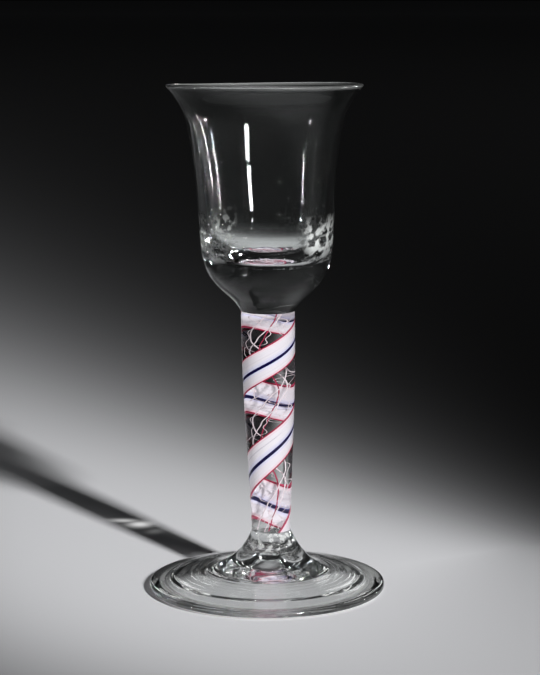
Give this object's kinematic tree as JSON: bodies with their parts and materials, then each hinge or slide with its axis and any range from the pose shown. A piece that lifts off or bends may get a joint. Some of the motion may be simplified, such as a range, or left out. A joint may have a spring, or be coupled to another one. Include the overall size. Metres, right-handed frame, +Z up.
{
  "type": "stemmed glass",
  "caption": "Stemmed wine glass with a flared bell bowl on a solid cup, a stem with a red, white and blue colour twist, and a wide conical foot.",
  "frame": {"origin": "centre of the foot's resting ring, on the surface that the glass stands on", "axes": "+Z up towards the rim, -Y towards the viewer of the picture, +X to the right"},
  "size_m": [0.0776, 0.0776, 0.165],
  "materials": {
    "clear_glass": "clear lead glass, fire polished",
    "white_enamel": "opaque white enamel glass",
    "cobalt_glass": "dark cobalt blue glass",
    "ruby_glass": "ruby red glass"
  },
  "bodies": {
    "root": {"bowl": "clear_glass", "foot": "clear_glass", "stem_casing": "clear_glass", "stem_core": "clear_glass", "red_edge_upper": "ruby_glass", "white_tape_upper": "white_enamel", "blue_thread": "cobalt_glass", "white_tape_lower": "white_enamel", "red_edge_lower": "ruby_glass", "white_thread_a": "white_enamel", "white_thread_b": "white_enamel", "inner_red_thread": "ruby_glass"}
  },
  "joints": []
}
